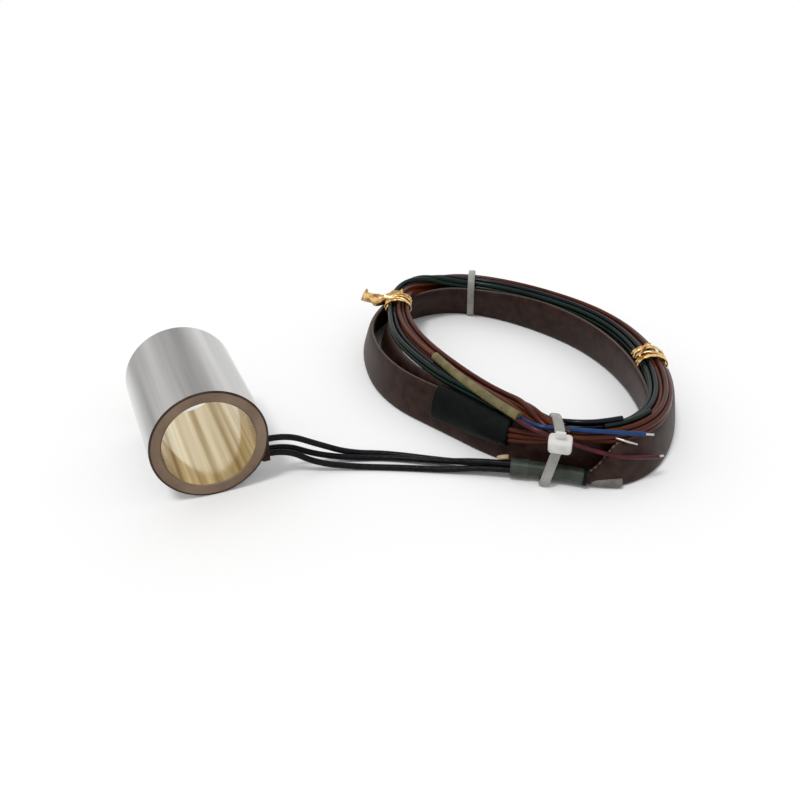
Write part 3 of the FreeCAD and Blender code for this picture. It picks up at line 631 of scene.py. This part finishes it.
for lead in leads:
    give(lead, black_sleeve, "black_glass_sleeve")
give(braid, brown_braid, "brown_braid")
give(braid_tail, grey_braid, "brown_braid")
wire_finish = {
    "wire_brown": (wire_brown, "brown_wire"), "wire_tan": (wire_tan, "brown_wire"),
    "wire_navy": (wire_navy, "black_shrink"), "wire_green": (wire_green, "green_wire"),
}
for wire_name, _, _, finish in WIRES:
    give(wires[wire_name][0], *wire_finish[finish])

# %% [markdown]
# ## Black sleeve and small cords
# A black shrink sleeve closes the braid where its wires leave it. It is folded over the outer
# turn's top edge, and its long flap hangs on the outer face as painted shade: a black sheet
# where the wires above shade the band. It is swept along the braid's own line, so that it fits
# the band's curve and lean everywhere.

# %% Small cords
def small_cord(name, route, radius, material, slot_name, smooth=8):
    thing = spline_curve(name, metres(route), radius * MM, smooth)
    return give(thing, material, slot_name)


cream_sleeve = small_cord("cream_sleeve", CORE_SLEEVE, 1.6, cream_glass, "cream_glass")
blue_tail = small_cord("blue_core", BLUE_CORE, 0.8, blue_jacket, "blue_core")
red_tail = small_cord("red_core", RED_CORE, 0.8, red_jacket, "red_core")
for tail, tail_route, cad_name in (
    (cream_sleeve, CORE_SLEEVE, "core_sleeve"),
    (blue_tail, BLUE_CORE, "blue_tail"),
    (red_tail, RED_CORE, "red_tail"),
):
    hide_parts(cad_name)
    tail_points = metres(tail_route)
    print(cad_name, "length in mm", round(length_along(spline_points(tail_points)) / MM, 1))

# A wisp of cream filler tape shows at the joint's mouth. A dark plug in the tube's far end is painted
# shade inside its open end.
FILLER_TAPE = [
    mouth_point(0.9, 2.4, -4.4), mouth_point(0.7, 3.2, -3.0), mouth_point(0.3, 3.6, -0.9),
]
PAINTED_MOUTH_SHADE = [(112.6, -41.3, FLOOR_MM + 3.7), (113.7, -42.0, FLOOR_MM + 3.6)]
filler_tape = small_cord("filler_tape", FILLER_TAPE, 0.75, cream_tape, "cream_glass")
joint_seal = small_cord("joint_seal", PAINTED_MOUTH_SHADE, 3.1, black_shrink, "black_shrink")

SLEEVE_START_Y = 12.5
SLEEVE_END_Y = -19.0
SLEEVE_FOOT = -3.4


def sleeve_and_shade_section(fraction, walked, point, heading):
    """A folded sleeve over the band's top edge: its long flap hangs on the outer face as painted shade.
    """
    lean = braid_lean(point)
    level = Vector((heading.x, heading.y, 0)).normalized()
    left = Vector((-level.y, level.x, 0))
    up = Vector((0, 0, 1)) * math.cos(lean) + left * math.sin(lean)
    out = Vector((0, 0, 1)) * math.sin(lean) - left * math.cos(lean)
    centre = Vector((point.x, point.y, (FLOOR_MM + 0.15 + 8 * math.cos(lean)) * MM))
    bulge = 0.9 + 1.5 * smoothstep(fraction, 0.25, 0.9)
    foot = SLEEVE_FOOT + 1.6 * fraction
    corners = [
        (1.6, foot), (2.3, foot - 0.25), (2.6 + bulge * 0.5, foot + 0.5),
        (2.7 + bulge, foot + 2.5), (2.8 + bulge, 1.5), (2.7 + bulge * 0.9, 4.0),
        (2.6 + bulge * 0.6, 6.2), (2.3, 8.1), (1.4, 8.9), (0.0, 9.2), (-1.4, 8.9),
        (-2.4, 8.0), (-2.6, 6.0), (-2.5, 3.0), (-1.7, 3.0), (-1.65, 7.9), (0.0, 8.15), (1.6, 7.9),
    ]
    return [centre + out * (across * MM) + up * (rise * MM) for across, rise in corners]


first_turn = [point for point in braid_line[:len(braid_line) * 2 // 3] if point.x < 0.11]
sleeve_line = evenly(
    [point for point in first_turn if SLEEVE_END_Y * MM < point.y < SLEEVE_START_Y * MM], 1.0 * MM)
# Partly painted shade: the sleeve's long flap darkens the band's outer face under the wires.
shrink = swept_mesh("black_end_sleeve", sleeve_line, sleeve_and_shade_section)
rounded = shrink.modifiers.new("soft_edges", "SUBSURF")
rounded.levels = 1
rounded.render_levels = 1
give(shrink, black_shrink, "black_shrink")
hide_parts("band_end_sleeve")

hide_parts("band_coil", "braid_tail")
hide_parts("braid_tail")
for wire_name, (wire, wire_points, wire_length) in wires.items():
    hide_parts("wire_coil")
for tail, tail_route, thick in ((cream_sleeve, CORE_SLEEVE, 3.2), (blue_tail, BLUE_CORE, 1.6),
                                (red_tail, RED_CORE, 1.6)):
    tail_points = metres(tail_route)
    length_along(spline_points(tail_points))

# %% [markdown]
# ## Ties
# A cable tie is a thin nylon strap drawn through its own head, so its path hugs whatever lies
# inside: joint, band and wires. A twist tie is a gold foil ribbon wound a few times round the
# wires, with its ends twisted together.

# %% Frames for the ties
def ring_frame(turns):
    """Centre, outward and forward directions of the bundle at a place on the ring, in mm."""
    place = (turns % 1.0) * PER_TURN
    index = int(place) % PER_TURN
    centre = bundle_line[index].lerp(bundle_line[(index + 1) % PER_TURN], place - int(place))
    heading = bundle_line[(index + 2) % PER_TURN] - bundle_line[index - 1]
    forward = Vector((heading.x, heading.y, 0)).normalized()
    return centre, Vector((forward.y, -forward.x, 0)), forward


def add_strap(name, point, outward, forward, corners, width, thickness, replaced, step=0.8):
    """A ribbon through corners given as (outward, height over the floor, forward)."""
    route = [
        Vector((point[0], point[1], FLOOR_MM)) + outward * out + Vector((0, 0, height)) + forward * ahead
        for out, height, ahead in corners]
    line = evenly(spline_points([spot * MM for spot in route], 10), step * MM)

    def ribbon(fraction, walked, spot, heading):
        across = (forward - heading * forward.dot(heading)).normalized()
        normal = heading.cross(across)
        half_wide = across * (width / 2 * MM)
        half_thick = normal * (thickness / 2 * MM)
        ridge = half_wide * 0.7
        return [
            spot + half_wide - half_thick * 0.3, spot + half_wide + half_thick * 0.5,
            spot + ridge + half_thick, spot - ridge + half_thick,
            spot - half_wide + half_thick * 0.5, spot - half_wide - half_thick * 0.3,
            spot - ridge - half_thick, spot + ridge - half_thick]

    strap = swept_mesh(name, line, ribbon)
    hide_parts(replaced)
    return strap


# %% Front and back cable ties
FRONT_TIE = Vector((109.4, -27.85))
FRONT_OUT = Vector((-0.585, -0.811, 0))
FRONT_AHEAD = Vector((0.811, -0.585, 0))
FRONT_STRAP = [
    (4.0, 0.45, -2.2), (11.6, 0.45, -1.9), (13.3, 1.2, -1.7), (13.6, 6.0, -0.6), (12.9, 11.5, 0.7),
    (12.0, 16.0, 1.8), (10.6, 20.2, 1.8), (6.5, 21.2, 0.9), (1.5, 20.9, -0.3), (-1.9, 19.6, -1.0),
    (-2.6, 15.5, -1.5), (-2.0, 6.0, -2.0), (-1.0, 0.6, -2.4), (3.0, 0.45, -2.3),
]
BACK_TURNS = 0.475
BACK_STRAP = [
    (2.0, 0.4, 0), (8.4, 0.5, 0), (9.4, 2.0, 0), (7.4, 9.0, 0), (5.6, 15.5, 0), (5.3, 19.6, 0),
    (0.0, 20.4, 0), (-5.6, 20.2, 0), (-7.9, 18.2, 0), (-7.2, 14.0, 0), (-4.5, 7.0, 0),
    (-2.6, 1.2, 0), (-0.5, 0.4, 0), (1.5, 0.4, 0),
]
HEAD_SIZE = Vector((4.6, 7.6, 7.4))
HEAD_TILT = 32.0

front_strap = add_strap("front_strap", FRONT_TIE, FRONT_OUT, FRONT_AHEAD, FRONT_STRAP, 3.3, 1.1,
                        "cable_tie_front")
back_point, back_out, back_ahead = ring_frame(BACK_TURNS)
back_strap = add_strap("back_strap", back_point, back_out, back_ahead, BACK_STRAP, 3.0, 0.9,
                       "cable_tie_back")


def add_head(name, place, outward, forward, size, tilt, replaced):
    """The tie's head: a rounded block, and the cut end of the strap in it."""
    lean = Matrix.Rotation(math.radians(tilt), 3, forward)
    out = lean @ outward
    rise = out.cross(forward)
    if rise.z < 0:
        rise = -rise
    turn = Matrix((out, forward, rise)).transposed().to_4x4()
    blocks = []
    for part, shift, block in (
        ("block", (0, 0, 0), size),
        ("tongue", (-0.6, 0, size.z * 0.68), Vector((1.1, 3.2, size.z * 0.5))),
    ):
        mesh = bpy.data.meshes.new(name + "_" + part)
        half = block * 0.5
        corners = [(x, y, z) for x in (-half.x, half.x) for y in (-half.y, half.y)
                   for z in (-half.z, half.z)]
        mesh.from_pydata(
            [Vector(corner) * MM for corner in corners], [],
            [(0, 1, 3, 2), (4, 6, 7, 5), (0, 4, 5, 1), (2, 3, 7, 6), (0, 2, 6, 4), (1, 5, 7, 3)])
        thing = bpy.data.objects.new(name + "_" + part, mesh)
        bpy.context.scene.collection.objects.link(thing)
        spot = place + out * shift[0] + forward * shift[1] + rise * shift[2]
        thing.matrix_world = Matrix.Translation(spot * MM) @ turn
        bevel = thing.modifiers.new("rounded", "BEVEL")
        bevel.width = (1.3 if part == "block" else 0.3) * MM
        bevel.segments = 4
        for polygon in mesh.polygons:
            polygon.use_smooth = True
        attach(thing, BODY)
        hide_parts(replaced)
        blocks.append(thing)
    return blocks


front_place = (Vector((FRONT_TIE.x, FRONT_TIE.y, FLOOR_MM + 17.2)) + FRONT_OUT * 12.6
               + FRONT_AHEAD * 2.2)
head_pieces = add_head("front_head", front_place, FRONT_OUT, FRONT_AHEAD, HEAD_SIZE, HEAD_TILT,
                       "cable_tie_front")


# %% Twist ties
def add_wraps(name, turns, wraps, half_wide, half_high, drop, pitch, replaced):
    """A ribbon wound round the wires, each wrap a little beside and over the last."""
    centre, outward, forward = ring_frame(turns)
    centre = centre + Vector((0, 0, FLOOR_MM + drop))
    steps = int(wraps * 14)
    route = []
    for number in range(steps + 1):
        angle = 2 * math.pi * wraps * number / steps - 0.6
        swell = 1 + 0.07 * math.sin(angle * 0.7) + 0.02 * number / steps
        beside = pitch * (wraps * number / steps - wraps / 2) + 0.7 * math.sin(angle * 1.31)
        route.append(
            centre + outward * (math.cos(angle) * half_wide * swell)
            + Vector((0, 0, math.sin(angle) * half_high * swell)) + forward * beside)
    line = evenly(spline_points([spot * MM for spot in route], 6), 0.7 * MM)

    def ribbon(fraction, walked, spot, heading):
        across = (forward - heading * forward.dot(heading)).normalized()
        normal = heading.cross(across)
        crinkle = 0.5 + 0.12 * math.sin(walked / MM * 2.1)
        half_wide_now = across * (crinkle * 2.1 * MM)
        half_thick = normal * (0.38 * MM)
        return [spot + half_wide_now, spot + half_thick, spot - half_wide_now, spot - half_thick]

    wrapped = swept_mesh(name, line, ribbon)
    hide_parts(replaced)
    return wrapped


def add_twist(name, route, wide, replaced):
    """A twisted pair of ribbon ends, wide and flat, along a short route."""
    line = evenly(spline_points(metres(route), 10), 0.5 * MM)

    def ribbon(fraction, walked, spot, heading):
        side = heading.cross(Vector((0, 0, 1))).normalized()
        angle = 1.35 + 0.5 * math.sin(walked / MM * 0.9)
        across = side * math.cos(angle) + Vector((0, 0, 1)) * math.sin(angle)
        normal = heading.cross(across)
        half_wide = across * (wide / 2 * (0.93 + 0.07 * math.sin(walked / MM * 1.7)) * MM)
        half_thick = normal * (0.45 * MM)
        return [spot + half_wide, spot + half_thick, spot - half_wide, spot - half_thick]

    twisted = swept_mesh(name, line, ribbon)
    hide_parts(replaced)
    return twisted


LEFT_TURNS = 0.622
RIGHT_TURNS = 0.242
left_wraps = add_wraps("left_twist_wraps", LEFT_TURNS, 4.2, 5.3, 3.7, 0.2, 2.2, "twist_tie_left")
right_wraps = add_wraps("right_twist_wraps", RIGHT_TURNS, 4.6, 5.5, 3.5, 0.0, 2.2,
                        "twist_tie_right")
LEFT_FLAG = [
    (100.5, 83.0, FLOOR_MM + 21.2), (97.0, 82.5, FLOOR_MM + 21.2), (93.5, 83.0, FLOOR_MM + 20.0),
    (90.2, 85.5, FLOOR_MM + 19.0), (87.6, 89.8, FLOOR_MM + 19.0), (86.4, 93.0, FLOOR_MM + 19.6),
]
RIGHT_KNOT = [
    (160.0, -2.5, FLOOR_MM + 19.8), (162.5, 0.5, FLOOR_MM + 21.0), (165.5, 2.5, FLOOR_MM + 21.4),
    (168.5, 3.0, FLOOR_MM + 21.0),
]
left_flag = add_twist("left_twist_flag", LEFT_FLAG, 5.6, "twist_tie_left")
right_knot = add_twist("right_twist_knot", RIGHT_KNOT, 2.2, "twist_tie_right")
for piece in (front_strap, back_strap):
    give(piece, thin_nylon, "white_nylon")
for piece in head_pieces:
    give(piece, nylon, "white_nylon")
for piece in (left_wraps, right_wraps, left_flag, right_knot):
    give(piece, gold_foil, "gold_foil")

# %% [markdown]
# ## Finishes of the CAD pieces
# The shell, the core, the plug, the element, the joint and the small tips keep their CAD shape and get
# their finish here.

# %% Finish the CAD pieces
CAD_FINISH = {
    "outer_sleeve": (polished_steel, "polished_steel"),
    "brass_core": (satin_brass, "brass"),
    "lead_exit_seal": (cement, "cement_brown"),
    "element_sheath": (tinned, "sheath_steel"),
    "element_insulation": (nylon, "magnesia"),
    "resistance_wire": (tinned, "heating_alloy"),
    "element_end_plug": (tinned, "sheath_steel"),
    "thermocouple_probe": (tinned, "sheath_steel"),
    "joint_tube": (silicone, "grey_silicone"),
    "joint_collar": (silicone, "grey_silicone"),
    "splice_crimps": (tinned, "tinned_metal"),
    "green_tail": (wire_green, "green_wire"),
    "blue_tip": (tinned, "tinned_metal"),
    "red_tip": (tinned, "tinned_metal"),
    "hook_tip": (tinned, "tinned_metal"),
}
cad_objects = {thing.name: thing for thing in bpy.data.objects if thing.type == "MESH"}
for node_name, (material, slot_name) in CAD_FINISH.items():
    found = [thing for name, thing in cad_objects.items() if name.startswith(node_name)]
    for thing in found:
        give(thing, material, slot_name)
    if not found:
        print("no CAD piece named", node_name)


BORE_REACH = 15.25 * MM
FACE_DEPTH = 0.42 * MM
RIM_DEPTH = 0.45 * MM


def paint_bore(core):
    """The bore is turned bright, the rest of the brass is satin."""
    core.data.materials.append(bright_brass_painted_reflections)
    for polygon in core.data.polygons:
        centre = core.matrix_world @ polygon.center
        radius = math.hypot(centre.x, centre.z)
        if radius < BORE_REACH and centre.y > FACE_DEPTH:
            polygon.material_index = 1


def paint_rim(shell):
    """The front edge faces of the shell are made dull and dark."""
    shell.data.materials.append(dark_rim)
    for polygon in shell.data.polygons:
        if (shell.matrix_world @ polygon.center).y < RIM_DEPTH:
            polygon.material_index = 1


for name, thing in cad_objects.items():
    if name.startswith("brass_core"):
        paint_bore(thing)
    if name.startswith("outer_sleeve"):
        paint_rim(thing)

# %% [markdown]
# ## Stage
# A pale floor and soft light, as for a catalogue photo. The camera, mirror and transmission
# rays meet a white world, so metal shows the same pale background that the camera sees.

# %% Floor, sun and surroundings
def add_floor():
    bpy.ops.mesh.primitive_plane_add(size=1.0, location=(0.09, 0.06, FLOOR_MM * MM))
    floor = bpy.context.object
    floor.name = "floor"
    material, nodes, links, shader = new_material("floor")
    shader.inputs["Base Color"].default_value = (0.975, 0.975, 0.975, 1)
    shader.inputs["Roughness"].default_value = 0.9
    shader.inputs["Specular IOR Level"].default_value = 0.1
    floor.data.materials.append(material)
    return floor


def add_sun(name, heading, strength, angle):
    data = bpy.data.lights.new(name, "SUN")
    data.energy = strength
    data.angle = math.radians(angle)
    light = bpy.data.objects.new(name, data)
    bpy.context.scene.collection.objects.link(light)
    light.rotation_euler = Vector(heading).to_track_quat("-Z", "Y").to_euler()
    return light


def set_world():
    world = bpy.data.worlds.new("surroundings")
    bpy.context.scene.world = world
    world.use_nodes = True
    nodes = world.node_tree.nodes
    links = world.node_tree.links
    nodes.clear()
    seen = put(nodes, "ShaderNodeBackground", Color=(1, 1, 1, 1), Strength=1.0)
    around = put(nodes, "ShaderNodeBackground", Color=(1, 1, 1, 1), Strength=0.72)
    path = nodes.new("ShaderNodeLightPath")
    clear = put(nodes, "ShaderNodeMath", operation="MAXIMUM")
    direct = put(nodes, "ShaderNodeMath", operation="MAXIMUM")
    mix = nodes.new("ShaderNodeMixShader")
    out = nodes.new("ShaderNodeOutputWorld")
    links.new(path.outputs["Is Camera Ray"], clear.inputs[0])
    links.new(path.outputs["Is Transmission Ray"], clear.inputs[1])
    links.new(clear.outputs[0], direct.inputs[0])
    links.new(path.outputs["Is Glossy Ray"], direct.inputs[1])
    links.new(direct.outputs[0], mix.inputs["Fac"])
    links.new(around.outputs["Background"], mix.inputs[1])
    links.new(seen.outputs["Background"], mix.inputs[2])
    links.new(mix.outputs["Shader"], out.inputs["Surface"])


floor = add_floor()
set_world()
add_sun("sun", (0.40, 0.20, -1.0), 1.12, 14.0)
print("stage:", floor.name, "and", len(bpy.data.lights), "lamp")
bpy.context.scene.view_settings.view_transform = "Standard"
